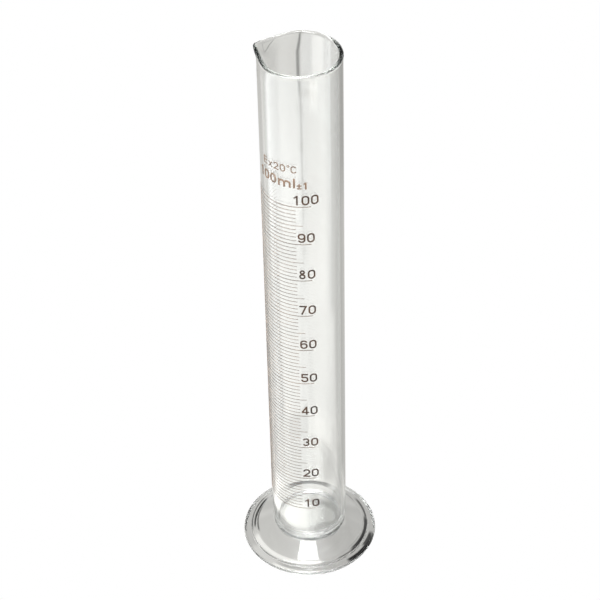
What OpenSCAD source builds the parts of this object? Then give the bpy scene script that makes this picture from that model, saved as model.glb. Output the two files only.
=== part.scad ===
// Graduated measuring cylinder, 100 ml, glass with a fused round foot.
// Millimetres. Origin at the centre of the foot's underside on the tube axis,
// +Z up, the numbers face -Y.

/* [Tube] */

// Outside diameter of the tube
tube_od = 30.2; // [29:0.1:32]
// Thickness of the tube wall
tube_wall = 1.45; // [1.2:0.05:1.7]
// Height of the rim above the table
overall_h = 237; // [230:1:245]
// Thickness of the closed bottom of the tube
tube_floor_t = 2.2; // [1.6:0.1:2.6]
// Radius of the rounded corner inside the bottom
inner_corner_r = 3.5; // [2:0.5:5]
// Radius of the rounded corner outside the bottom
outer_corner_r = 4; // [3:0.5:4.5]
// Width of the fire-polished bead at the rim
rim_bead_w = 1.6; // [1.5:0.05:1.9]

/* [Pouring lip] */

// Direction of the lip, seen from above, counted from the right-hand side
lip_angle = 157; // [120:1:200]
// How far the sharp corner of the lip would stand off the tube axis, in tube radii
lip_reach = 1.24; // [1.14:0.01:1.3]
// Half the part of the rim that is drawn into the lip
lip_half_angle = 57; // [50:1:62]
// Angle from the middle of the lip at which the rim is round again
lip_fade_angle = 76; // [68:1:78]
// Depth below the rim at which the lip has faded away
lip_depth = 8; // [5:0.5:12]

/* [Foot] */

// Diameter of the foot at its widest
foot_d = 54.8; // [50:0.2:60]
// Thickness of the thin outer flange of the foot
flange_t = 2.6; // [2:0.1:3.2]
// Diameter of the step between the flange and the raised middle
step_d = 48.6; // [44:0.2:49]
// Height of the rounded step above the table
step_h = 4.5; // [4.2:0.1:4.8]
// Radius of the rounded bead that forms the step
step_bead_r = 1.3; // [1:0.1:1.5]
// Height of the foot where the coned top reaches the tube
cone_h = 8.4; // [7.8:0.1:9]
// Width of the ring the foot stands on
stand_ring_w = 2.6; // [2:0.1:4]
// Height of the hollow under the middle of the foot
hollow_h = 3; // [2:0.1:4]

/* [Graduation] */

// Thickness of the fired-on enamel
enamel_t = 0.08; // [0.05:0.01:0.15]
// Line width of the one and five ml rings
ring_w = 0.2; // [0.15:0.05:0.4]
// Line width of the ten ml rings
ten_ring_w = 0.28; // [0.2:0.02:0.5]
// How far the rings run round to the left and the back
ring_wrap_angle = 135; // [100:1:150]
// Where the one ml rings end, as an arc length from the front
one_end_arc = -2.7; // [-4:0.1:-1.5]
// Where the five ml rings end, as an arc length from the front
five_end_arc = -0.1; // [-1:0.1:1]
// Where the ten ml rings end, as an arc length from the front
ten_end_arc = 2.9; // [2:0.1:4]

/* [Lettering] */

// Height of the numbers
numeral_h = 4.2; // [3.6:0.1:4.8]
// Width of one digit of the numbers
numeral_w = 2.85; // [2.4:0.05:3.1]
// Distance from digit to digit in the numbers
numeral_pitch = 3.4; // [3.2:0.05:3.8]
// Line width of the numbers
numeral_stroke = 0.62; // [0.45:0.01:0.75]
// Where the last digit of every number stands, as an arc length from the front
last_digit_arc = 2.68; // [2:0.1:4]
// Gap between a ring and the number above it
numeral_gap = 0.75; // [0.5:0.05:1.2]

/* [Hidden] */

capacity_ml = 100;
lowest_ml = 10;
minor_ml = 1;
middle_ml = 5;
major_ml = 10;
// one millilitre in cubic millimetres
ml = 1000;

tube_r = tube_od / 2;
bore_r = tube_r - tube_wall;
pitch = ml / (PI * bore_r * bore_r);
// the underside of the tube sits this far below the top of the foot
tube_sink = 0.3;
tube_bottom_h = cone_h - tube_sink;
floor_h = tube_bottom_h + tube_floor_t;

// section the rounded corner takes away from the bore
corner_area = (1 - PI / 4) * inner_corner_r * inner_corner_r;
// the middle of that area lies this far in from the bore wall
corner_arm = (10 - 3 * PI) / (12 - 3 * PI) * inner_corner_r;
corner_vol = 2 * PI * (bore_r - corner_arm) * corner_area;
// the level that would hold no volume if the bore ran down to a square corner
zero_h = floor_h + corner_vol / (PI * bore_r * bore_r);

bead_r = rim_bead_w / 2;
bead_axis_r = bore_r + bead_r;
bead_axis_h = overall_h - bead_r;

foot_r = foot_d / 2;
step_r = step_d / 2;
edge_r = 1;
base_chamfer = 0.9;
// the cone starts in a shallow valley inside the bead of the step
bead_mid_r = step_r - step_bead_r;
bead_mid_h = step_h - step_bead_r;
valley_dir = [-0.8, 0.6];
valley_r = bead_mid_r + valley_dir[0] * step_bead_r;
valley_h = bead_mid_h + valley_dir[1] * step_bead_r;
// the seal sits in a shallow seat in the middle of the foot and climbs the tube a little
seat_inset = 0.5;
seat_depth = 0.6;
seal_climb = 1.6;
seal_r = tube_r - seat_inset;
seal_h = tube_bottom_h - seat_depth;
seal_top_h = tube_bottom_h + seal_climb;
// the shallow hollow in the outside of the seal: how deep, and how far up it starts
seal_waist = 0.3;
seal_waist_rise = 0.5;

lip_zone_h = overall_h - lip_depth;
lip_cut_half = 80;
// the drawn part runs this far past its cut on both sides, in degrees
lip_overlap = 1.5;
lip_bury = 1;
lip_shrink = 0.02;
// how sharply the lip flares towards the rim
lip_flare = 1.7;
lip_steps = 54;
lip_rows = 12;
// the bead of the rim in the lip: start angle, sweep, and the straight walls' ends below it
lip_bead_start = -30;
lip_bead_sweep = 210;
lip_bead_points = 15;
lip_outer_stop = 0.9;
lip_inner_stop = 0.3;
// rounding of the tip of the lip, in degrees
tip_soft = 5;
// how far cutting shapes reach past the surface they cut
over = 1;
rim_fn = 180;
arc_fn = 64;

// the three-digit number stands a little further right than the others
lead_shift = 1.67;
// the legends: heights of the characters and gaps above the top ring
legend_h = 4.1;
legend_gap = 8.4;
tolerance_h = 3;
tolerance_gap = 8;
temperature_h = 3.1;
temperature_gap = 14.9;
bold_stroke = 0.75;
fine_stroke = 0.42;
// where the characters of the legends stand, as arc lengths from the front
capacity_one_arc = -18;
capacity_zero_arcs = [-14.8, -11.4];
capacity_m_arc = -6.7;
capacity_l_arc = -3;
plus_minus_arc = -1.2;
tolerance_one_arc = 0.95;
temperature_E_arc = -15.4;
temperature_x_arc = -12.6;
temperature_two_arc = -9.9;
temperature_zero_arc = -7.2;
temperature_degree_arc = -5.05;
temperature_C_arc = -3.05;
degree_r = 0.35;

// the enamel stands a hair clear of the glass, so the solids never overlap
enamel_clear = 0.005;
enamel_in_r = tube_r + enamel_clear;
enamel_out_r = enamel_in_r + enamel_t;

// ---------------------------------------------------------------- helpers

// a sector of the plane from angle a0 to angle a1, less than 180 degrees wide
module wedge(a0, a1, r) {
    am = (a0 + a1) / 2;
    polygon([[0, 0],
             [r * cos(a0), r * sin(a0)],
             [2 * r * cos((a0 + am) / 2), 2 * r * sin((a0 + am) / 2)],
             [2 * r * cos(am), 2 * r * sin(am)],
             [2 * r * cos((a1 + am) / 2), 2 * r * sin((a1 + am) / 2)],
             [r * cos(a1), r * sin(a1)]]);
}

// a stroke from one point to another, with square ends
module bar(p, q, s) {
    d = q - p;
    len = norm(d);
    translate(p)
        rotate(atan2(d[1], d[0]))
            translate([0, -s / 2])
                square([len, s]);
}

// a stroke along a part circle
module arc(c, r, a0, a1, s) {
    translate(c)
        intersection() {
            difference() {
                circle(r = r + s / 2, $fn = arc_fn);
                circle(r = r - s / 2, $fn = arc_fn);
            }
            wedge(a0, a1, r + s);
        }
}

// a closed upright oval made of two half rings and two straight sides
module oval(w, h, s) {
    r = (w - s) / 2;
    arc([0, h - w / 2], r, 0, 90, s);
    arc([0, h - w / 2], r, 90, 180, s);
    arc([0, w / 2], r, 180, 270, s);
    arc([0, w / 2], r, 270, 360, s);
    bar([r, w / 2], [r, h - w / 2], s);
    bar([-r, w / 2], [-r, h - w / 2], s);
}

// a full ring drawn as a stroke
module ring2(c, r, s) {
    translate(c)
        difference() {
            circle(r = r + s / 2, $fn = arc_fn);
            circle(r = r - s / 2, $fn = arc_fn);
        }
}

module glyph_0(w, h, s) {
    oval(w, h, s);
}

module glyph_1(w, h, s) {
    x = w * 0.12;
    bar([x, 0], [x, h], s);
    bar([x, h - s * 0.55], [x - w * 0.42, h - w * 0.42], s * 0.8);
}

module glyph_2(w, h, s) {
    r = (w - s) / 2;
    cy = h - w / 2;
    arc([0, cy], r, 0, 90, s);
    arc([0, cy], r, 90, 175, s);
    arc([0, cy], r, -38, 0, s);
    px = r * cos(-38);
    py = cy + r * sin(-38);
    bar([px, py], [-w / 2 + s * 0.6, s * 0.6], s);
    bar([-w / 2, s / 2], [w / 2, s / 2], s);
}

module glyph_3(w, h, s) {
    r = (h / 2 - s / 2) / 2 + s / 8;
    top = h - s / 2 - r;
    low = s / 2 + r;
    arc([0, top], r, 0, 90, s);
    arc([0, top], r, 90, 165, s);
    arc([0, top], r, -90, 0, s);
    arc([0, low], r, 0, 90, s);
    arc([0, low], r, -90, 0, s);
    arc([0, low], r, 195, 270, s);
}

module glyph_4(w, h, s) {
    x = w * 0.18;
    y = h * 0.27;
    bar([x, 0], [x, h], s);
    bar([-w / 2, y], [w / 2, y], s);
    bar([-w / 2 + s * 0.3, y], [x, h - s * 0.4], s);
}

module glyph_5(w, h, s) {
    r = (w - s) / 2;
    cy = w / 2;
    top = h - s / 2;
    x = -w / 2 + s * 0.75;
    arc([0, cy], r, 0, 90, s);
    arc([0, cy], r, 90, 140, s);
    arc([0, cy], r, -90, 0, s);
    arc([0, cy], r, 190, 270, s);
    bar([x, cy + r * 0.6], [x, h], s);
    bar([x, top], [w / 2 - s * 0.2, top], s);
}

module glyph_6(w, h, s) {
    r = (w - s) / 2;
    cy = w / 2;
    ring2([0, cy], r, s);
    bar([-r, cy], [-r, h - w / 2], s);
    arc([0, h - w / 2], r, 90, 180, s);
    arc([0, h - w / 2], r, 20, 90, s);
}

module glyph_7(w, h, s) {
    top = h - s / 2;
    bar([-w / 2, top], [w / 2, top], s);
    bar([w / 2 - s * 0.55, top], [-w * 0.18, 0], s);
}

module glyph_8(w, h, s) {
    r_top = (h * 0.47 - s) / 2;
    r_low = (h * 0.56 - s) / 2;
    ring2([0, h - s / 2 - r_top], r_top, s);
    ring2([0, s / 2 + r_low], r_low, s);
}

module glyph_9(w, h, s) {
    translate([0, h])
        rotate(180)
            glyph_6(w, h, s);
}

module digit(k, w, h, s) {
    if (k == 0) glyph_0(w, h, s);
    if (k == 1) glyph_1(w, h, s);
    if (k == 2) glyph_2(w, h, s);
    if (k == 3) glyph_3(w, h, s);
    if (k == 4) glyph_4(w, h, s);
    if (k == 5) glyph_5(w, h, s);
    if (k == 6) glyph_6(w, h, s);
    if (k == 7) glyph_7(w, h, s);
    if (k == 8) glyph_8(w, h, s);
    if (k == 9) glyph_9(w, h, s);
}

module letter_m(w, h, s) {
    r = (w / 2 - s / 2) / 2;
    x1 = -w / 2 + s / 2;
    y = h - s / 2 - r;
    bar([x1, 0], [x1, h], s);
    for (i = [0, 1]) {
        cx = x1 + r + i * 2 * r;
        arc([cx, y], r, 0, 90, s);
        arc([cx, y], r, 90, 180, s);
        bar([cx + r, 0], [cx + r, y], s);
    }
}

module letter_l(h, s) {
    bar([0, 0], [0, h], s);
}

module letter_E(w, h, s) {
    x = -w / 2;
    bar([x + s / 2, 0], [x + s / 2, h], s);
    bar([x, s / 2], [w / 2, s / 2], s);
    bar([x, h / 2], [w / 2 - s * 0.3, h / 2], s);
    bar([x, h - s / 2], [w / 2, h - s / 2], s);
}

module letter_x(w, h, s) {
    bar([-w / 2 + s * 0.4, 0], [w / 2 - s * 0.4, h], s);
    bar([-w / 2 + s * 0.4, h], [w / 2 - s * 0.4, 0], s);
}

module letter_C(w, h, s) {
    r = (w - s) / 2;
    arc([0, h - w / 2], r, 25, 90, s);
    arc([0, h - w / 2], r, 90, 180, s);
    arc([0, w / 2], r, 180, 270, s);
    arc([0, w / 2], r, 270, 335, s);
    bar([-r, w / 2], [-r, h - w / 2], s);
}

module sign_plus_minus(w, h, s) {
    cy = h * 0.58;
    bar([-w / 2, cy], [w / 2, cy], s);
    bar([0, cy - w / 2], [0, cy + w / 2], s);
    bar([-w / 2, s / 2], [w / 2, s / 2], s);
}

// stands a flat character on the tube: its middle at an arc length from the
// front and its foot at a height above the table
module on_tube(arc_mm, z) {
    turn = arc_mm / tube_r * 180 / PI;
    translate([0, 0, z])
        rotate([0, 0, turn - 90])
            intersection() {
                rotate([90, 0, 90])
                    linear_extrude(height = enamel_out_r + over)
                        children();
                enamel_shell();
            }
}

// a tall thin shell standing on the outside of the tube
module enamel_shell() {
    shell_h = 8;
    translate([0, 0, -over])
        difference() {
            cylinder(r = enamel_out_r, h = shell_h, $fn = rim_fn);
            translate([0, 0, -over])
                cylinder(r = enamel_in_r, h = shell_h + 2 * over, $fn = rim_fn);
        }
}

// one ring of enamel from the back on the left to its end near the front
module enamel_ring(end_arc, line_w) {
    end_turn = end_arc / tube_r * 180 / PI;
    span = ring_wrap_angle + end_turn;
    rotate([0, 0, -90 - ring_wrap_angle])
        linear_extrude(height = line_w)
            intersection() {
                difference() {
                    circle(r = enamel_out_r, $fn = rim_fn);
                    circle(r = enamel_in_r, $fn = rim_fn);
                }
                wedge(0, span, tube_od);
            }
}

function line_z(v) = zero_h + v * pitch;

// -------------------------------------------------------------- the glass

// half section of the closed outside of the tube, up to a height
module tube_outside(h) {
    c = outer_corner_r;
    translate([0, tube_bottom_h + c])
        square([tube_r, h - tube_bottom_h - c]);
    translate([0, tube_bottom_h])
        square([tube_r - c, c]);
    intersection() {
        translate([tube_r - c, tube_bottom_h + c])
            circle(r = c, $fn = arc_fn);
        translate([tube_r - c, tube_bottom_h])
            square([c, c]);
    }
}

// half section of the bore with its rounded corner
module bore_inside() {
    c = inner_corner_r;
    translate([0, floor_h + c])
        square([bore_r, overall_h]);
    translate([0, floor_h])
        square([bore_r - c, c]);
    intersection() {
        translate([bore_r - c, floor_h + c])
            circle(r = c, $fn = arc_fn);
        translate([bore_r - c, floor_h])
            square([c, c]);
    }
}

// plan radius of the drawn rim at an angle from the middle of the lip
flank_x = tube_r * cos(lip_half_angle);
flank_y = tube_r * sin(lip_half_angle);
tip_r = tube_r * lip_reach;
flank_len = norm([tip_r - flank_x, flank_y]);
flank_off = tip_r * flank_y / flank_len;
flank_normal = atan2(tip_r - flank_x, flank_y);
function soft_angle(a) = sqrt(a * a + tip_soft * tip_soft);
function flank_r(a) = flank_off / cos(soft_angle(a) - flank_normal);
function smooth(t) = t * t * (3 - 2 * t);
function clamp01(t) = min(1, max(0, t));
function lip_fade(a) =
    1 - smooth(clamp01((a - flank_normal) / (lip_fade_angle - flank_normal)));
function lip_plan(a) =
    a < flank_normal ? flank_r(a) - tube_r : (flank_off - tube_r) * lip_fade(a);
function lip_shift(a, z) =
    lip_plan(abs(a)) * pow(clamp01((z - lip_zone_h) / lip_depth), lip_flare);

// closed outline of the wall in the lip, as [radius, height]
function lip_outline(k) =
    let (z0 = lip_zone_h - lip_bury,
         outside = tube_r - k,
         inside = bore_r + k,
         br = bead_r - k,
         outer_end = bead_axis_h - lip_outer_stop,
         inner_end = bead_axis_h - lip_inner_stop,
         last = lip_rows - 1,
         outer = [for (i = [0:last]) [outside, z0 + (outer_end - z0) * i / last]],
         bead = [for (i = [0:lip_bead_points])
                     let (a = lip_bead_start + lip_bead_sweep * i / lip_bead_points)
                     [bead_axis_r + br * cos(a), bead_axis_h + br * sin(a)]],
         inner = [for (i = [0:last]) [inside, inner_end - (inner_end - z0) * i / last]])
    concat(outer, bead, inner);

// the drawn part of the wall; it is a hair thinner than the wall it grows from
module lip() {
    pts = lip_outline(lip_shrink);
    n = len(pts);
    last = lip_steps;
    half = lip_cut_half + lip_overlap;
    verts = [for (j = [0:last])
                let (a = -half + 2 * half * j / last)
                for (p = pts)
                    let (r = p[0] + lip_shift(a, p[1]))
                    [r * cos(a), r * sin(a), p[1]]];
    sides = [for (j = [0:last - 1])
                for (i = [0:n - 1])
                    for (t = [0, 1])
                        t == 0
                            ? [j * n + i, j * n + (i + 1) % n, (j + 1) * n + i]
                            : [j * n + (i + 1) % n, (j + 1) * n + (i + 1) % n, (j + 1) * n + i]];
    rungs = [0:n / 2 - 2];
    first_cap = [for (i = rungs)
                    for (t = [0, 1])
                        t == 0 ? [i, n - 1 - i, i + 1] : [i + 1, n - 1 - i, n - 2 - i]];
    last_cap = [for (f = first_cap) [last * n + f[0], last * n + f[2], last * n + f[1]]];
    rotate([0, 0, lip_angle])
        polyhedron(points = verts, faces = concat(sides, first_cap, last_cap), convexity = 6);
}

module measuring_tube() {
    color([0.86, 0.93, 0.9, 0.45]) {
        difference() {
            rotate_extrude($fn = rim_fn)
                difference() {
                    union() {
                        tube_outside(bead_axis_h);
                        translate([bead_axis_r, bead_axis_h])
                            circle(r = bead_r, $fn = arc_fn);
                    }
                    bore_inside();
                }
            // room for the drawn lip
            translate([0, 0, lip_zone_h])
                linear_extrude(height = lip_depth + over)
                    rotate(lip_angle)
                        wedge(-lip_cut_half, lip_cut_half, tube_od);
        }
        lip();
    }
}

// half section of the foot without its hollow
module foot_section() {
    polygon([[0, 0],
             [foot_r - base_chamfer, 0],
             [foot_r, flange_t - edge_r],
             [foot_r - edge_r, flange_t],
             [step_r, flange_t],
             [step_r, bead_mid_h],
             [bead_mid_r, bead_mid_h],
             [valley_r, valley_h],
             [tube_r, cone_h],
             [seal_r, cone_h],
             [seal_r, seal_h],
             [0, seal_h]]);
    translate([foot_r - edge_r, flange_t - edge_r])
        circle(r = edge_r, $fn = arc_fn);
    translate([bead_mid_r, bead_mid_h])
        circle(r = step_bead_r, $fn = arc_fn);
}

module foot() {
    hollow_r = foot_r - base_chamfer - stand_ring_w;
    dome_r = (hollow_r * hollow_r + hollow_h * hollow_h) / (2 * hollow_h);
    color([0.84, 0.92, 0.89, 0.5])
        rotate_extrude($fn = rim_fn)
            difference() {
                foot_section();
                intersection() {
                    translate([0, hollow_h - dome_r])
                        circle(r = dome_r, $fn = 4 * rim_fn);
                    translate([0, -over])
                        square([foot_r, hollow_h + 2 * over]);
                }
            }
}

// the seal fills the seat and climbs the rounded corner of the tube
module foot_weld() {
    color([0.8, 0.9, 0.87, 0.6])
        rotate_extrude($fn = rim_fn)
            difference() {
                polygon([[0, seal_h],
                         [seal_r, seal_h],
                         [seal_r, cone_h],
                         [seal_r - seal_waist, cone_h + seal_waist_rise],
                         [seal_r - seal_waist, seal_top_h],
                         [0, seal_top_h]]);
                tube_outside(overall_h / 2);
            }
}

// -------------------------------------------------------------- the enamel

module one_ml_rings() {
    color([0.33, 0.2, 0.12])
        for (v = [lowest_ml:minor_ml:capacity_ml])
            if (v % middle_ml != 0)
                translate([0, 0, line_z(v) - ring_w / 2])
                    enamel_ring(one_end_arc, ring_w);
}

module five_ml_rings() {
    color([0.33, 0.2, 0.12])
        for (v = [lowest_ml + middle_ml:major_ml:capacity_ml])
            translate([0, 0, line_z(v) - ring_w / 2])
                enamel_ring(five_end_arc, ring_w);
}

module ten_ml_rings() {
    color([0.33, 0.2, 0.12])
        for (v = [major_ml:major_ml:capacity_ml])
            translate([0, 0, line_z(v) - ten_ring_w / 2])
                enamel_ring(ten_end_arc, ten_ring_w);
}

module numeral(v) {
    z = line_z(v) + ten_ring_w / 2 + numeral_gap;
    tens = floor(v / 10) % 10;
    hundreds = floor(v / 100);
    color([0.33, 0.2, 0.12]) {
        on_tube(last_digit_arc + (hundreds > 0 ? lead_shift : 0), z)
            digit(0, numeral_w, numeral_h, numeral_stroke);
        on_tube(last_digit_arc - numeral_pitch + (hundreds > 0 ? lead_shift : 0), z)
            digit(tens, numeral_w, numeral_h, numeral_stroke);
        if (hundreds > 0)
            on_tube(last_digit_arc - 2 * numeral_pitch + lead_shift, z)
                digit(hundreds, numeral_w, numeral_h, numeral_stroke);
    }
}

module numeral_10() {
    numeral(10);
}

module numeral_20() {
    numeral(20);
}

module numeral_30() {
    numeral(30);
}

module numeral_40() {
    numeral(40);
}

module numeral_50() {
    numeral(50);
}

module numeral_60() {
    numeral(60);
}

module numeral_70() {
    numeral(70);
}

module numeral_80() {
    numeral(80);
}

module numeral_90() {
    numeral(90);
}

module numeral_100() {
    numeral(100);
}

// the unit legend: 100 ml, in bold strokes
module capacity_legend() {
    h = legend_h;
    s = bold_stroke;
    z = line_z(capacity_ml) + legend_gap;
    color([0.33, 0.2, 0.12]) {
        on_tube(capacity_one_arc, z)
            digit(1, 2.6, h, s);
        for (a = capacity_zero_arcs)
            on_tube(a, z)
                digit(0, 2.8, h, s);
        on_tube(capacity_m_arc, z)
            letter_m(5, h * 0.74, s);
        on_tube(capacity_l_arc, z)
            letter_l(h, s);
    }
}

// the tolerance legend: plus or minus 1
module tolerance_legend() {
    z = line_z(capacity_ml) + tolerance_gap;
    color([0.33, 0.2, 0.12]) {
        on_tube(plus_minus_arc, z)
            sign_plus_minus(1.7, tolerance_h * 0.86, bold_stroke * 0.72);
        on_tube(tolerance_one_arc, z)
            digit(1, 1.8, tolerance_h, bold_stroke * 0.9);
    }
}

// the reference temperature legend: Ex 20 degrees C
module temperature_legend() {
    h = temperature_h;
    s = fine_stroke;
    z = line_z(capacity_ml) + temperature_gap;
    color([0.33, 0.2, 0.12]) {
        on_tube(temperature_E_arc, z)
            letter_E(2.1, h, s);
        on_tube(temperature_x_arc, z)
            letter_x(1.9, h * 0.72, s);
        on_tube(temperature_two_arc, z)
            digit(2, 2, h, s);
        on_tube(temperature_zero_arc, z)
            digit(0, 2.1, h, s);
        on_tube(temperature_degree_arc, z + h - degree_r)
            ring2([0, 0], degree_r, s * 0.7);
        on_tube(temperature_C_arc, z)
            letter_C(2.2, h, s);
    }
}

measuring_tube();
foot();
foot_weld();
one_ml_rings();
five_ml_rings();
ten_ml_rings();
numeral_10();
numeral_20();
numeral_30();
numeral_40();
numeral_50();
numeral_60();
numeral_70();
numeral_80();
numeral_90();
numeral_100();
capacity_legend();
tolerance_legend();
temperature_legend();
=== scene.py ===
"""A 100 ml glass measuring cylinder on a plain pale floor, in the CAD frame, in metres."""

import math

import bpy
import numpy as np
from mathutils import Matrix, Vector

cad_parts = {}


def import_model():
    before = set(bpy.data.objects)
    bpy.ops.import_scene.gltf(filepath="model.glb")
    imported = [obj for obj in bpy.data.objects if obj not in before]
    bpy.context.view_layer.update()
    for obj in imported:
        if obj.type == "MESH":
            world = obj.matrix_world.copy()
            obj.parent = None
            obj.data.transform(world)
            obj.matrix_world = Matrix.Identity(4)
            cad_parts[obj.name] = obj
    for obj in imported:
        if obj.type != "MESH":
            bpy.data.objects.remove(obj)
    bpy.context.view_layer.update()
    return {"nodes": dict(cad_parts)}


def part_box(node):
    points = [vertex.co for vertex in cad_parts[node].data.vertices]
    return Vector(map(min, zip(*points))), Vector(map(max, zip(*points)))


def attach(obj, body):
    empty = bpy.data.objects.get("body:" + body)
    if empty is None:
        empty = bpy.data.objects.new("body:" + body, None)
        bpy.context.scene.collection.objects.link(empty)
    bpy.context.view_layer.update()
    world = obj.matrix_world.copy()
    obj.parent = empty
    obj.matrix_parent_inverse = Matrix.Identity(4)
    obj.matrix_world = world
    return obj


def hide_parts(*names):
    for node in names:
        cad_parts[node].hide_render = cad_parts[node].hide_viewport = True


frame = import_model()

MM = 0.001

# ------------------------------------------------------------------ sizes

tube_lo, tube_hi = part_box("measuring_tube")
foot_lo, foot_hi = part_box("foot")
seal_lo, seal_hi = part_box("foot_weld")
ten_lo, ten_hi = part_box("ten_ml_rings")

RIM_H = tube_hi.z
TUBE_BOTTOM_H = tube_lo.z
BEAD_BULGE = 0.15 * MM
TUBE_R = -tube_lo.y - BEAD_BULGE
WALL = 1.45 * MM
BORE_R = TUBE_R - WALL
FLOOR_T = 2.2 * MM
FLOOR_H = TUBE_BOTTOM_H + FLOOR_T
INNER_CORNER_R = 3.5 * MM
OUTER_CORNER_R = 4.0 * MM
BEAD_R = 0.8 * MM
BEAD_AXIS_R = BORE_R + BEAD_R
BEAD_AXIS_H = RIM_H - BEAD_R

LIP_ANGLE = math.radians(157)
LIP_REACH = 1.24
LIP_HALF = math.radians(57)
LIP_DEPTH = 8 * MM
LIP_SOFT = math.radians(5)
LIP_FADE = math.radians(76)
LIP_CURVE = 1.7

FOOT_R = foot_hi.x
CONE_H = foot_hi.z
FLANGE_T = 2.6 * MM
STEP_R = 24.3 * MM
STEP_H = 4.5 * MM
STEP_BEAD_R = 1.3 * MM
EDGE_R = 1.0 * MM
BASE_CHAMFER = 0.9 * MM
FILLET_R = 0.25 * MM
# where the step's bead ends and the cone starts: the angle, and the same as a direction
STEP_BEAD_END = 143
VALLEY_DIR = (-0.8, 0.6)
STAND_RING_W = 2.6 * MM
# the rounded outer edge of the ring it stands on, and the height where the slope takes over
STAND_ROUND_R = 0.35 * MM
STAND_ROUND_TOP = 1.6 * STAND_ROUND_R
HOLLOW_H = 3.0 * MM
SEAL_R = seal_hi.x
SEAL_H = seal_lo.z
SEAL_TOP_H = seal_hi.z
# the seal bends this far out from the glass above it, at this part of its height
SEAL_BULGE = 0.1 * MM
SEAL_BULGE_AT = 0.55
# the three glass pieces run into each other by a hair, as fused glass does
FUSE = 0.03 * MM

ENAMEL_IN_R = TUBE_R + 0.005 * MM
ENAMEL_OUT_R = -ten_lo.y
# the rings' facets, and their softened edges as parts of the line width
RING_FACET = math.radians(1.2)
RING_SOFT = 0.18
RING_SOFT_IN = 0.4

LATHE_STEPS = 384
SAME_POINT = 1e-7


# --------------------------------------------------------------- mesh kit

def new_object(name, verts, faces, smooth=True):
    """A mesh object from points in metres and faces of indices."""
    mesh = bpy.data.meshes.new(name)
    mesh.from_pydata([tuple(v) for v in verts], [], faces)
    mesh.validate()
    mesh.update()
    obj = bpy.data.objects.new(name, mesh)
    bpy.context.scene.collection.objects.link(obj)
    mesh.polygons.foreach_set("use_smooth", [smooth] * len(mesh.polygons))
    return obj


def line(p, q, n, ends=True):
    """Points from p to q, closer together near both ends."""
    t = np.linspace(0, 1, n)
    if ends:
        t = 0.5 - 0.5 * np.cos(math.pi * t)
    return [(p[0] + (q[0] - p[0]) * k, p[1] + (q[1] - p[1]) * k) for k in t]


def curve(c, r, a0, a1, n):
    """Points on a circle in the half section, angles in degrees."""
    return [(c[0] + r * math.cos(math.radians(a)), c[1] + r * math.sin(math.radians(a)))
            for a in np.linspace(a0, a1, n)]


def chain(*runs):
    """Joins runs of points, dropping the ones that repeat."""
    out = []
    for run in runs:
        for p in run:
            if not out or math.dist(out[-1], p) > SAME_POINT:
                out.append(p)
    return out


def lathe(name, outline, shift=None, steps=LATHE_STEPS):
    """Turns a half section that starts and ends on the axis into a closed solid."""
    rings = outline[1:-1]
    turn = np.linspace(0, 2 * math.pi, steps, endpoint=False)
    verts = [(0.0, 0.0, outline[0][1])]
    for r, z in rings:
        for a in turn:
            rr = r + (shift(a, z) if shift else 0.0)
            verts.append((rr * math.cos(a), rr * math.sin(a), z))
    verts.append((0.0, 0.0, outline[-1][1]))
    last = len(verts) - 1
    faces = []
    for j in range(steps):
        k = (j + 1) % steps
        faces.append((0, 1 + k, 1 + j))
        for i in range(len(rings) - 1):
            a, b = 1 + i * steps, 1 + (i + 1) * steps
            faces.append((a + j, a + k, b + k, b + j))
        top = 1 + (len(rings) - 1) * steps
        faces.append((top + j, top + k, last))
    return new_object(name, verts, faces)


# ------------------------------------------------------------- the shapes

def smoothstep(t):
    t = min(1.0, max(0.0, t))
    return t * t * (3 - 2 * t)


def lip_shift(angle, z):
    """How far the wall is drawn out (or in) for the pouring lip."""
    rise = (z - (RIM_H - LIP_DEPTH)) / LIP_DEPTH
    if rise <= 0:
        return 0.0
    a = abs((angle - LIP_ANGLE + math.pi) % (2 * math.pi) - math.pi)
    if a > LIP_FADE:
        return 0.0
    fx, fy = TUBE_R * math.cos(LIP_HALF), TUBE_R * math.sin(LIP_HALF)
    tip = TUBE_R * LIP_REACH
    off = tip * fy / math.hypot(tip - fx, fy)
    normal = math.atan2(tip - fx, fy)
    if a < normal:
        plan = off / math.cos(math.hypot(a, LIP_SOFT) - normal) - TUBE_R
    else:
        plan = (off - TUBE_R) * (1 - smoothstep((a - normal) / (LIP_FADE - normal)))
    return plan * min(1.0, rise) ** LIP_CURVE


def tube_outline():
    co, ci = OUTER_CORNER_R, INNER_CORNER_R
    bead_low = math.degrees(math.acos((TUBE_R - BEAD_AXIS_R) / BEAD_R))
    return chain(
        line((0, TUBE_BOTTOM_H), (TUBE_R - co, TUBE_BOTTOM_H), 10),
        curve((TUBE_R - co, TUBE_BOTTOM_H + co), co, -90, 0, 20),
        line((TUBE_R, TUBE_BOTTOM_H + co), (TUBE_R, RIM_H - LIP_DEPTH), 40),
        line((TUBE_R, RIM_H - LIP_DEPTH),
             (TUBE_R, BEAD_AXIS_H - BEAD_R * math.sin(math.radians(bead_low))), 18, False),
        curve((BEAD_AXIS_R, BEAD_AXIS_H), BEAD_R, -bead_low, 180, 26),
        line((BORE_R, BEAD_AXIS_H), (BORE_R, RIM_H - LIP_DEPTH), 18, False),
        line((BORE_R, RIM_H - LIP_DEPTH), (BORE_R, FLOOR_H + ci), 40),
        curve((BORE_R - ci, FLOOR_H + ci), ci, 0, -90, 20),
        line((BORE_R - ci, FLOOR_H), (0, FLOOR_H), 10),
    )


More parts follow.
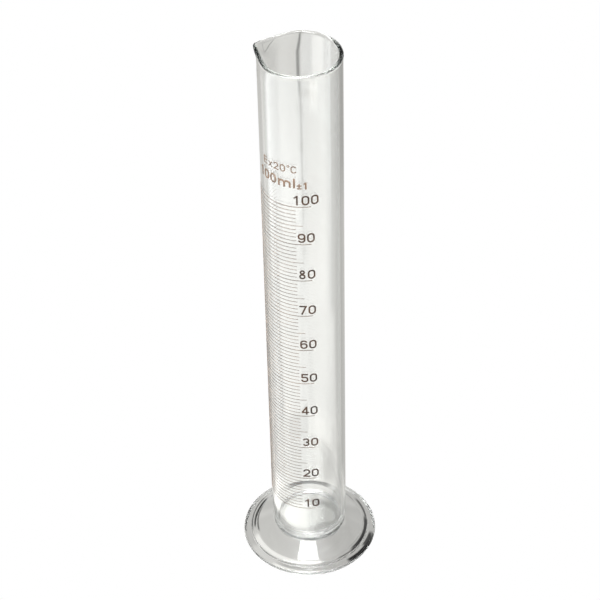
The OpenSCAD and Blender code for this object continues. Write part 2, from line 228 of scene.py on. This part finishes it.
def foot_outline():
    hollow_r = FOOT_R - BASE_CHAMFER - STAND_RING_W
    dome_r = (hollow_r ** 2 + HOLLOW_H ** 2) / (2 * HOLLOW_H)
    half = math.degrees(math.asin(hollow_r / dome_r))
    stand_r = FOOT_R - BASE_CHAMFER
    bead = (STEP_R - STEP_BEAD_R, STEP_H - STEP_BEAD_R)
    return chain(
        curve((0, HOLLOW_H - dome_r), dome_r, 90, 90 - half, 40),
        line((hollow_r, 0), (stand_r - STAND_ROUND_R, 0), 8),
        curve((stand_r - STAND_ROUND_R, STAND_ROUND_R), STAND_ROUND_R, -90, -30, 8),
        line((stand_r, STAND_ROUND_TOP), (FOOT_R, FLANGE_T - EDGE_R), 8),
        curve((FOOT_R - EDGE_R, FLANGE_T - EDGE_R), EDGE_R, 0, 90, 14),
        line((FOOT_R - EDGE_R, FLANGE_T), (STEP_R + FILLET_R, FLANGE_T), 8),
        curve((STEP_R + FILLET_R, FLANGE_T + FILLET_R), FILLET_R, -90, -180, 6),
        curve(bead, STEP_BEAD_R, 0, STEP_BEAD_END, 26),
        line((bead[0] + VALLEY_DIR[0] * STEP_BEAD_R, bead[1] + VALLEY_DIR[1] * STEP_BEAD_R),
             (TUBE_R, CONE_H), 30),
        line((TUBE_R, CONE_H), (SEAL_R, CONE_H), 3),
        line((SEAL_R, CONE_H), (SEAL_R, SEAL_H), 6),
        line((SEAL_R, SEAL_H), (0, SEAL_H), 16),
    )


def seal_outline():
    co = OUTER_CORNER_R - FUSE
    bottom = TUBE_BOTTOM_H + FUSE
    centre = (TUBE_R - OUTER_CORNER_R, TUBE_BOTTOM_H + OUTER_CORNER_R)
    top = min(SEAL_TOP_H, centre[1])
    a = math.degrees(math.asin((top - centre[1]) / co))
    r_top = centre[0] + co * math.cos(math.radians(a))
    bend = (r_top + SEAL_BULGE, CONE_H + (top - CONE_H) * SEAL_BULGE_AT)
    return chain(
        line((0, SEAL_H - FUSE), (SEAL_R + FUSE, SEAL_H - FUSE), 16),
        line((SEAL_R + FUSE, SEAL_H - FUSE), (SEAL_R + FUSE, CONE_H), 8),
        line((SEAL_R + FUSE, CONE_H), bend, 5),
        line(bend, (r_top, top), 4),
        curve(centre, co, a, -90, 16),
        line((centre[0], bottom), (0, bottom), 10),
    )


def ring_set(name, heights, line_w, a0, a1):
    """Thin raised arcs of enamel round the tube, one closed solid for each height."""
    n = int((a1 - a0) / RING_FACET)
    soft = line_w * RING_SOFT
    r0, r1 = ENAMEL_IN_R, ENAMEL_OUT_R
    side = r1 - soft * RING_SOFT_IN
    section = [(r0, -line_w / 2), (side, -line_w / 2), (r1, -line_w / 2 + soft),
               (r1, line_w / 2 - soft), (side, line_w / 2), (r0, line_w / 2)]
    m = len(section)
    verts, faces = [], []
    for h in heights:
        base = len(verts)
        for a in np.linspace(a0, a1, n + 1):
            for r, z in section:
                verts.append((r * math.cos(a), r * math.sin(a), h + z))
        for j in range(n):
            for i in range(m):
                p, q = base + j * m, base + (j + 1) * m
                faces.append((p + i, q + i, q + (i + 1) % m, p + (i + 1) % m))
        faces.append(tuple(base + i for i in range(m)))
        faces.append(tuple(base + n * m + i for i in reversed(range(m))))
    return new_object(name, verts, faces, smooth=False)


# -------------------------------------------------------------- node kit

def tree_of(mat):
    mat.use_nodes = True
    nt = mat.node_tree
    nt.nodes.clear()
    return nt


def add(nt, kind, **values):
    node = nt.nodes.new(kind)
    for key, value in values.items():
        if key.startswith("in_"):
            node.inputs[key[3:].replace("_", " ")].default_value = value
        else:
            setattr(node, key, value)
    return node


def math_node(nt, op, a, b=None, clamp=False):
    node = nt.nodes.new("ShaderNodeMath")
    node.operation = op
    node.use_clamp = clamp
    for i, v in enumerate((a, b)):
        if v is None:
            continue
        if isinstance(v, (int, float)):
            node.inputs[i].default_value = v
        else:
            nt.links.new(v, node.inputs[i])
    return node.outputs[0]


def span(nt, value, lo, hi, to_lo, to_hi, kind="SMOOTHSTEP"):
    node = nt.nodes.new("ShaderNodeMapRange")
    node.interpolation_type = kind
    nt.links.new(value, node.inputs["Value"])
    node.inputs["From Min"].default_value = lo
    node.inputs["From Max"].default_value = hi
    node.inputs["To Min"].default_value = to_lo
    node.inputs["To Max"].default_value = to_hi
    return node.outputs["Result"]


def noise(nt, vector, scale, detail=3.0, rough=0.5):
    node = nt.nodes.new("ShaderNodeTexNoise")
    node.inputs["Scale"].default_value = scale
    node.inputs["Detail"].default_value = detail
    node.inputs["Roughness"].default_value = rough
    nt.links.new(vector, node.inputs["Vector"])
    return node.outputs["Fac"]


def stretched(nt, sx, sy, sz):
    """Object coordinates scaled apart, for grain that runs one way."""
    coord = nt.nodes.new("ShaderNodeTexCoord")
    scale = nt.nodes.new("ShaderNodeVectorMath")
    scale.operation = "MULTIPLY"
    scale.inputs[1].default_value = (sx, sy, sz)
    nt.links.new(coord.outputs["Object"], scale.inputs[0])
    return scale.outputs[0]


def mix_colour(nt, fac, a, b):
    node = nt.nodes.new("ShaderNodeMix")
    node.data_type = "RGBA"
    nt.links.new(fac, node.inputs["Factor"])
    node.inputs["A"].default_value = (*a, 1)
    node.inputs["B"].default_value = (*b, 1)
    return node.outputs["Result"]


# -------------------------------------------------------------- materials

GLASS_IOR = 1.49
# what the glass takes out of the light on its way through: colour and strength
GLASS_ABSORB = (0.86, 0.9, 0.87)
GLASS_DENSITY = 2.0
# the faint unevenness of its tint and gloss: scale, and the part of the noise that hazes
GLASS_GRAIN = (90, 90, 90)
GLASS_HAZE = (0.35, 0.75)
# the enamel's fine grain: scale, share in its strength, the gloss it gives, the relief
ENAMEL_GRAIN = (6000, 6000, 6000)
ENAMEL_FINE_SHARE = 0.25
ENAMEL_ROUGHNESS = (0.28, 0.45)
ENAMEL_GLOSS = 0.3
ENAMEL_RELIEF = 0.01 * MM


def glass(name, tint, wave, wave_depth, haze):
    """Clear glass: a faint tint, drawn streaks or pressed ripple, and absorption inside."""
    mat = bpy.data.materials.new(name)
    nt = tree_of(mat)
    out = add(nt, "ShaderNodeOutputMaterial")
    bsdf = add(nt, "ShaderNodeBsdfPrincipled")
    bsdf.inputs["Transmission Weight"].default_value = 1.0
    bsdf.inputs["IOR"].default_value = GLASS_IOR
    grain = noise(nt, stretched(nt, *GLASS_GRAIN), 1.0, 4.0)
    nt.links.new(mix_colour(nt, grain, tint, (1.0, 1.0, 1.0)), bsdf.inputs["Base Color"])
    nt.links.new(span(nt, grain, *GLASS_HAZE, 0.0, haze), bsdf.inputs["Roughness"])
    bump = add(nt, "ShaderNodeBump", in_Strength=1.0, in_Distance=wave_depth)
    nt.links.new(noise(nt, stretched(nt, *wave), 1.0, 2.0), bump.inputs["Height"])
    nt.links.new(bump.outputs[0], bsdf.inputs["Normal"])
    inside = add(nt, "ShaderNodeVolumeAbsorption")
    inside.inputs["Color"].default_value = (*GLASS_ABSORB, 1)
    inside.inputs["Density"].default_value = GLASS_DENSITY
    nt.links.new(bsdf.outputs[0], out.inputs["Surface"])
    nt.links.new(inside.outputs[0], out.inputs["Volume"])
    return mat


def enamel(name, dark, light, patch):
    """Brown enamel fired onto the glass: uneven in strength, with a soft gloss."""
    mat = bpy.data.materials.new(name)
    nt = tree_of(mat)
    out = add(nt, "ShaderNodeOutputMaterial")
    bsdf = add(nt, "ShaderNodeBsdfPrincipled")
    broad = noise(nt, stretched(nt, patch, patch, patch), 1.0, 3.0)
    fine = noise(nt, stretched(nt, *ENAMEL_GRAIN), 1.0, 2.0)
    strength = math_node(nt, "ADD", span(nt, broad, 0.3, 0.7, 0.0, 1 - ENAMEL_FINE_SHARE),
                         math_node(nt, "MULTIPLY", fine, ENAMEL_FINE_SHARE), clamp=True)
    nt.links.new(mix_colour(nt, strength, dark, light), bsdf.inputs["Base Color"])
    nt.links.new(span(nt, fine, 0.3, 0.7, *ENAMEL_ROUGHNESS), bsdf.inputs["Roughness"])
    bsdf.inputs["Specular IOR Level"].default_value = ENAMEL_GLOSS
    bump = add(nt, "ShaderNodeBump", in_Strength=0.5, in_Distance=ENAMEL_RELIEF)
    nt.links.new(fine, bump.inputs["Height"])
    nt.links.new(bump.outputs[0], bsdf.inputs["Normal"])
    nt.links.new(bsdf.outputs[0], out.inputs["Surface"])
    return mat


TUBE_GLASS = glass("drawn_clear_glass", (0.985, 0.995, 0.99),
                   (220, 220, 3.0), 0.004 * MM, 0.004)
FOOT_GLASS = glass("pressed_clear_glass", (0.98, 0.99, 0.985),
                   (120, 120, 160), 0.01 * MM, 0.012)
SEAL_GLASS = glass("fused_clear_glass", (0.98, 0.99, 0.985),
                   (260, 260, 320), 0.02 * MM, 0.012)
SCALE_ENAMEL = enamel("brown_scale_enamel", (0.07, 0.053, 0.042), (0.21, 0.158, 0.125), 160)
NUMERAL_ENAMEL = enamel("brown_numeral_enamel", (0.008, 0.004, 0.002), (0.07, 0.034, 0.016), 260)
LEGEND_ENAMEL = enamel("pale_brown_legend_enamel", (0.07, 0.044, 0.03), (0.23, 0.15, 0.1), 200)


# -------------------------------------------------------------- the pieces

def finish_piece(obj, mat, slot, *nodes):
    obj.data.materials.append(mat)
    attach(obj, "root")
    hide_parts(*nodes)
    return obj


finish_piece(lathe("glass_tube", tube_outline(), lip_shift), TUBE_GLASS, "tube_glass",
             "measuring_tube")
finish_piece(lathe("glass_foot", foot_outline()), FOOT_GLASS, "foot_glass", "foot")
finish_piece(lathe("glass_seal", seal_outline()), SEAL_GLASS, "seal_glass", "foot_weld")

# the long rings mark every ten, the middle ones every odd five, the short ones the rest
TEN_LINE_W = 0.28 * MM
LINE_W = 0.2 * MM
TOP_LINE_H = ten_hi.z - TEN_LINE_W / 2
PER_TEN = (ten_hi.z - ten_lo.z - TEN_LINE_W) / 9
PER_ML = PER_TEN / 10
# how far the rings run round to the left and back, and where the three kinds end in front
RING_WRAP = 135
RING_BACK = math.radians(-90 - RING_WRAP)
ONE_END_ARC = -2.7
FIVE_END_ARC = -0.1
TEN_END_ARC = 2.9


def end_angle(arc_mm):
    return math.radians(-90) + arc_mm * MM / TUBE_R


def heights(values):
    return [TOP_LINE_H - (100 - v) * PER_ML for v in values]


ones = heights([v for v in range(10, 101) if v % 5])
fives = heights(range(15, 100, 10))
tens = heights(range(10, 101, 10))
finish_piece(ring_set("rings_one_ml", ones, LINE_W, RING_BACK, end_angle(ONE_END_ARC)),
             SCALE_ENAMEL, "scale_enamel", "one_ml_rings")
finish_piece(ring_set("rings_five_ml", fives, LINE_W, RING_BACK, end_angle(FIVE_END_ARC)),
             SCALE_ENAMEL, "scale_enamel", "five_ml_rings")
finish_piece(ring_set("rings_ten_ml", tens, TEN_LINE_W, RING_BACK, end_angle(TEN_END_ARC)),
             SCALE_ENAMEL, "scale_enamel", "ten_ml_rings")

for name, node in frame["nodes"].items():
    if name.startswith("numeral_") or name.endswith("_legend"):
        node.data.materials.clear()
        legend = name.endswith("_legend")
        node.data.materials.append(LEGEND_ENAMEL if legend else NUMERAL_ENAMEL)


# --------------------------------------------------------------- the stage

def ray_flag(nt, name):
    return nt.nodes.new("ShaderNodeLightPath").outputs[name]


def lobe(nt, angle, centre, half, soft):
    """1 in a sector round the upright axis, falling to 0 over its soft edges, in degrees."""
    turned = math_node(nt, "SUBTRACT", angle, math.radians(centre))
    off = math_node(nt, "ARCCOSINE", math_node(nt, "COSINE", turned))
    return span(nt, off, math.radians(half), math.radians(half + soft), 1.0, 0.0)


def band(nt, value, start, end, fade):
    """1 from start to end, with soft edges on both sides."""
    rise = span(nt, value, start - fade / 2, start + fade / 2, 0.0, 1.0)
    fall = span(nt, value, end - fade / 2, end + fade / 2, 1.0, 0.0)
    return math_node(nt, "MULTIPLY", rise, fall)


def grey_mix(nt, value, fac, target):
    """Takes a brightness towards a target by a factor."""
    node = nt.nodes.new("ShaderNodeMix")
    nt.links.new(fac, node.inputs["Factor"])
    nt.links.new(value, node.inputs["A"])
    node.inputs["B"].default_value = target
    return node.outputs["Result"]


def azimuth(nt, vector):
    """The angle round the upright axis (0 at the front, + to the right), and the parts x, y, z."""
    parts = nt.nodes.new("ShaderNodeSeparateXYZ")
    nt.links.new(vector, parts.inputs[0])
    x, y, z = parts.outputs
    return math_node(nt, "ARCTAN2", x, math_node(nt, "MULTIPLY", y, -1.0)), x, y, z


def distance_from(nt, vector, middle):
    """How far a point is from a spot on the floor, given in millimetres."""
    away = nt.nodes.new("ShaderNodeVectorMath")
    away.operation = "DISTANCE"
    nt.links.new(vector, away.inputs[0])
    away.inputs[1].default_value = (middle[0] * MM, middle[1] * MM, 0)
    return away.outputs["Value"]


def horizon(nt, level, fac, around, pale):
    """Takes a brightness to that of a pale room, with painted dark sectors in place of dark cards.
    """
    level = grey_mix(nt, level, fac, pale)
    for centre in PAINTED_CARD_ANGLES:
        painted_card_fac = math_node(nt, "MULTIPLY", fac, lobe(nt, around, centre, *PAINTED_CARD_SPREAD))
        level = grey_mix(nt, level, painted_card_fac, PAINTED_CARD_DARK)
    return level


def floor_material():
    """Plain pale floor for the camera. What the glass sees of it glows with painted pools of light
    and painted dark patches, which put painted light and shade into the glass.
    """
    mat = bpy.data.materials.new("plain_floor")
    nt = tree_of(mat)
    out = add(nt, "ShaderNodeOutputMaterial")
    seen = add(nt, "ShaderNodeEmission", in_Strength=1.0)
    seen.inputs["Color"].default_value = (1.0, 1.0, 1.0, 1)
    geo = nt.nodes.new("ShaderNodeNewGeometry")
    phi = azimuth(nt, geo.outputs["Position"])[0]
    rho = distance_from(nt, geo.outputs["Position"], (0, 0))
    # the painted glow that the glass sees: brighter near the object, with painted pools of light
    # and painted shade laid over it
    level = span(nt, rho, *FLOOR_FALL)
    for middle, patches in FLOOR_PATCHES:
        away = distance_from(nt, geo.outputs["Position"], middle)
        for centre, half, soft, near, far, fade, target in patches:
            fac = band(nt, away, near * MM, far * MM, fade * MM)
            if half < ALL_ROUND:
                fac = math_node(nt, "MULTIPLY", fac, lobe(nt, phi, centre, half, soft))
            level = grey_mix(nt, level, fac, target)
    # seen straight through the walls from low down, it matches the horizon
    slope = azimuth(nt, geo.outputs["Incoming"])[3]
    direct = math_node(nt, "MULTIPLY", span(nt, ray_flag(nt, "Ray Depth"), *STRAIGHT, 1.0, 0.0),
                       span(nt, slope, *LOW_LOOK, 1.0, 0.0))
    direct = math_node(nt, "MULTIPLY", direct, span(nt, rho, *CLEAR_OF_FOOT, 0.0, 1.0))
    level = horizon(nt, level, direct, phi, HORIZON_PALE)
    # rays that ran down inside the wall: bright under the tube, dark round it
    piped = span(nt, ray_flag(nt, "Ray Depth"), *PIPED, 0.0, 1.0)
    level = grey_mix(nt, level, piped, PIPED_DARK)
    spot = math_node(nt, "MULTIPLY", piped, span(nt, rho, *PIPED_SPOT, 1.0, 0.0))
    level = grey_mix(nt, level, spot, PIPED_BRIGHT)
    # the painted glow's colour: warm, and cool in the painted pool of light on the front left
    lit = add(nt, "ShaderNodeEmission")
    cool = math_node(nt, "MULTIPLY", lobe(nt, phi, *COOL_SIDE),
                     span(nt, rho, *COOL_FADE, 0.0, 1.0))
    nt.links.new(mix_colour(nt, cool, WARM_FLOOR, COOL_FLOOR), lit.inputs["Color"])
    nt.links.new(level, lit.inputs["Strength"])
    mix = add(nt, "ShaderNodeMixShader")
    nt.links.new(ray_flag(nt, "Is Camera Ray"), mix.inputs[0])
    nt.links.new(lit.outputs[0], mix.inputs[1])
    nt.links.new(seen.outputs[0], mix.inputs[2])
    nt.links.new(mix.outputs[0], out.inputs["Surface"])
    mat.cycles.emission_sampling = "NONE"
    return mat


# the pale room seen straight through the glass from low down: the bounces over which it fades,
# the sines of the angles down to the floor and up from the horizon, and the clear floor (m)
STRAIGHT = (5, 9)
LOW_LOOK = (0.4, 0.52)
HORIZON = (0.16, 0.3)
CLEAR_OF_FOOT = (0.05, 0.1)
# how bright it is, and the grey that the room's own brightness is multiplied by
HORIZON_PALE = 0.86
AIR_GREY = 0.8
# painted dark sectors in place of cards, which paint dark edges into the glass: where, half width
# and soft edge, brightness
PAINTED_CARD_ANGLES = (-157, -112, -45, 0, 100, 140)
PAINTED_CARD_SPREAD = (6, 8)
PAINTED_CARD_DARK = 0.1
ALL_ROUND = 180
FAR = 9000
# how the floor's painted glow falls away from the object: from, to (metres), near and far levels
FLOOR_FALL = (0.12, 0.34, 0.78, 0.57)
# painted pools of light and painted dark patches: middle, half width, soft edge in degrees (0 is
# the front,
# + the right), then where they start and end in millimetres, the fade there, the brightness
FLOOR_PATCHES = (
    # painted light and dark on the open floor, measured from the tube's axis
    ((0, 0), (
        (-137, 9, 10, 45, FAR, 20, 0.54),
        (147, 14, 14, 30, FAR, 10, 0.5),
        (142, 16, 12, 250, FAR, 80, 0.36),
        (105, 25, 16, 45, FAR, 20, 0.47),
        (-108, 16, 16, 45, FAR, 20, 0.94),
        (-50, 42, 22, 45, 200, 20, 1.7),
        (-55, 50, 5, 200, FAR, 100, 2.9),
        (38, 18, 32, 160, FAR, 80, 2.0),
        (55, 30, 14, 45, 160, 20, 1.4),
        (-55, 42, 25, 27.5, 50, 6, 2.3),
        (30, 26, 12, 28.5, 45, 4, 0.03),
        (85, 26, 12, 28.5, 45, 4, 0.5),
        (177.1, 0.6, 0.9, 310, FAR, 20, 0.74),
        (-179.68, 0.05, 0.3, 325, FAR, 30, 0.22),
        # painted shade under the foot, right and left halves, then painted dark and bright patches
        # for the flange
        (90, 95, 30, -1, 28, 1, 0.49),
        (-90, 80, 30, -1, 28, 1, 0.6),
        (180, 28, 14, 15, 24, 2, 0.75),
        (125, 24, 12, -1, 12.6, 2, 0.72),
        (180, 18, 10, 24.6, 28.5, 0.6, 0.05),
        (-85, 30, 20, 24.2, 28.5, 0.6, 0.5),
        (-45, 16, 10, 23.4, 28.5, 0.8, 0.66),
        (-4, 22, 12, 23.4, 25.0, 0.6, 0.47),
        (-12, 20, 8, 25.0, 28.5, 0.8, 1.05),
        (24, 12, 6, 25.0, 28.5, 0.8, 0.47),
    )),
    # the painted pool of light under the tube
    ((-3.2, 5.2), (
        (180, ALL_ROUND, 0, -1, 8.4, 3.8, 1.0),
    )),
    # painted dark bands and bright rings that the foot's step and flange show, measured from a
    # point 2.8 mm behind the axis
    ((0, 2.8), (
        (-33, 40, 10, 21.2, 24.2, 1.2, 0.93),
        (76, 20, 8, 21.8, 23.35, 0.5, 0.03),
        (112, 10, 8, 22.2, 23.0, 0.4, 0.08),
        (47, 10, 8, 21.4, 22.7, 0.8, 0.15),
        (-110, 18, 8, 21.4, 22.6, 0.4, 0.03),
        (-111, 17, 8, 23.05, 23.55, 0.25, 0.03),
        (-108, 18, 8, 20.1, 20.9, 0.4, 0.18),
        (58, 17, 5, 26.5, 45, 0.6, 0.005),
        (72, 6, 6, 25.6, 26.9, 0.6, 0.05),
        (62, 8, 4, 20.95, 22.5, 0.3, 0.01),
    )),
)
# light that bounced down inside the wall: bounces from, to; the spot it finds bright (m)
PIPED = (12, 20)
PIPED_SPOT = (0.012, 0.0148)
PIPED_BRIGHT = 1.75
PIPED_DARK = 0.01
# tints of the painted glow: warm, cool, the cool side (middle, half width, soft edge in degrees)
# and where the cool begins (m)
WARM_FLOOR = (1.0, 0.99, 0.95)
COOL_FLOOR = (0.98, 1.0, 1.0)
COOL_SIDE = (-55, 45, 30)
COOL_FADE = (0.03, 0.06)
FLOOR_HALF = 4.0
FLOOR_SINK = 0.02 * MM
floor = new_object("stage_floor",
                   [(-FLOOR_HALF, -FLOOR_HALF, 0), (FLOOR_HALF, -FLOOR_HALF, 0),
                    (FLOOR_HALF, FLOOR_HALF, 0), (-FLOOR_HALF, FLOOR_HALF, 0)],
                   [(0, 1, 2, 3)], smooth=False)
floor.location.z = -FLOOR_SINK
floor.data.materials.append(floor_material())


def world():
    """White for the camera. The glass sees a dark room with a soft bright ceiling."""
    w = bpy.data.worlds.new("studio")
    bpy.context.scene.world = w
    w.use_nodes = True
    nt = w.node_tree
    nt.nodes.clear()
    out = nt.nodes.new("ShaderNodeOutputWorld")
    seen = nt.nodes.new("ShaderNodeBackground")
    seen.inputs["Color"].default_value = (1, 1, 1, 1)
    coord = nt.nodes.new("ShaderNodeTexCoord")
    around, _, _, height = azimuth(nt, coord.outputs["Generated"])
    level = span(nt, height, *WALL_GLOW)
    for centre, half, soft, low, high, fade, target in WALL_PATCHES:
        fac = math_node(nt, "MULTIPLY", band(nt, height, low, high, fade),
                        lobe(nt, around, centre, half, soft))
        level = grey_mix(nt, level, fac, target)
    ceiling = span(nt, height, *CEILING_EDGE, 0.0, 1.0)
    for centre, half, soft, target in CEILING:
        fac = math_node(nt, "MULTIPLY", ceiling, lobe(nt, around, centre, half, soft))
        level = grey_mix(nt, level, fac, target)
    # seen straight through the walls from low down: a pale horizon between painted dark sectors in
    # place of cards
    direct = math_node(nt, "MULTIPLY", span(nt, ray_flag(nt, "Ray Depth"), *STRAIGHT, 1.0, 0.0),
                       span(nt, math_node(nt, "ABSOLUTE", height), *HORIZON, 1.0, 0.0))
    level = horizon(nt, level, direct, around, HORIZON_PALE / AIR_GREY)
    level = grey_mix(nt, level, span(nt, ray_flag(nt, "Ray Depth"), *PIPED, 0.0, 1.0), PIPED_DARK)
    dim = nt.nodes.new("ShaderNodeBackground")
    dim.inputs["Color"].default_value = (AIR_GREY, AIR_GREY, AIR_GREY, 1)
    nt.links.new(level, dim.inputs["Strength"])
    mix = nt.nodes.new("ShaderNodeMixShader")
    nt.links.new(ray_flag(nt, "Is Camera Ray"), mix.inputs[0])
    nt.links.new(dim.outputs[0], mix.inputs[1])
    nt.links.new(seen.outputs[0], mix.inputs[2])
    nt.links.new(mix.outputs[0], out.inputs["Surface"])


# the room by the sine of the height above the horizon: from, to, low and high brightness
WALL_GLOW = (0.45, 0.85, 0.02, 0.4)
CEILING_EDGE = (0.8, 0.93)
# paler stretches of wall behind: middle, half width, soft edge, then low, high, fade, level
WALL_PATCHES = ((150, 17, 6, 0.28, 0.72, 0.08, 0.65), (-168, 8, 6, 0.6, 0.78, 0.06, 1.0),
                (178, 8, 6, 0.05, 0.4, 0.1, 1.3))
# ceiling light: middle, half width, soft edge in degrees, brightness
CEILING = ((-100, 50, 40, 1.3), (180, 20, 40, 0.6), (45, 70, 30, 3.9))
world()


def softbox(name, location, target, size, strength, colour=(1, 1, 1)):
    """A soft studio light that the camera doesn't see."""
    light = bpy.data.lights.new(name, "AREA")
    light.shape = "RECTANGLE"
    light.size, light.size_y = size
    light.energy = strength
    light.color = colour
    obj = bpy.data.objects.new(name, light)
    obj.location = location
    obj.rotation_euler = (Vector(target) - Vector(location)).to_track_quat("-Z", "Y").to_euler()
    obj.visible_camera = False
    bpy.context.scene.collection.objects.link(obj)
    return obj


softbox("soft_top", (-0.07, -0.32, 1.25), (-0.07, -0.32, 0.1), (0.62, 0.8), 18)
softbox("soft_front", (-0.45, -0.95, 0.95), (0, 0, 0.1), (1.1, 0.7), 24)


# ---------------------------------------------------------------- the camera

CAM_BACK = 592.65 * MM
CAM_HIGH = 626.55 * MM
CAM_PITCH = math.radians(40.2127)
CAM_YAW = math.radians(-0.1793)
CAM_ROLL = math.radians(-1.3369)
CAM_LENS = 122.52
SENSOR = 36.0

cam_data = bpy.data.cameras.new("camera")
cam_data.lens = CAM_LENS
cam_data.sensor_width = SENSOR
cam_data.clip_start, cam_data.clip_end = 0.01, 50
cam = bpy.data.objects.new("camera", cam_data)
bpy.context.scene.collection.objects.link(cam)
look = Vector((math.sin(CAM_YAW) * math.cos(CAM_PITCH),
               math.cos(CAM_YAW) * math.cos(CAM_PITCH), -math.sin(CAM_PITCH)))
right = look.cross(Vector((0, 0, 1))).normalized()
up = right.cross(look)
tilt_right = right * math.cos(CAM_ROLL) + up * math.sin(CAM_ROLL)
tilt_up = up * math.cos(CAM_ROLL) - right * math.sin(CAM_ROLL)
cam.matrix_world = Matrix((
    (tilt_right.x, tilt_up.x, -look.x, 0),
    (tilt_right.y, tilt_up.y, -look.y, -CAM_BACK),
    (tilt_right.z, tilt_up.z, -look.z, CAM_HIGH),
    (0, 0, 0, 1)))
bpy.context.scene.camera = cam

# the rim and the lip are light pipes, so rays need very many bounces in them
BOUNCES = 400
scene = bpy.context.scene
scene.view_settings.view_transform = "Standard"
scene.view_settings.look = "None"
scene.cycles.max_bounces = BOUNCES
scene.cycles.transmission_bounces = BOUNCES
scene.cycles.glossy_bounces = BOUNCES
scene.cycles.diffuse_bounces = 3
scene.cycles.transparent_max_bounces = 16
scene.cycles.blur_glossy = 0.0
scene.cycles.sample_clamp_indirect = 6.0
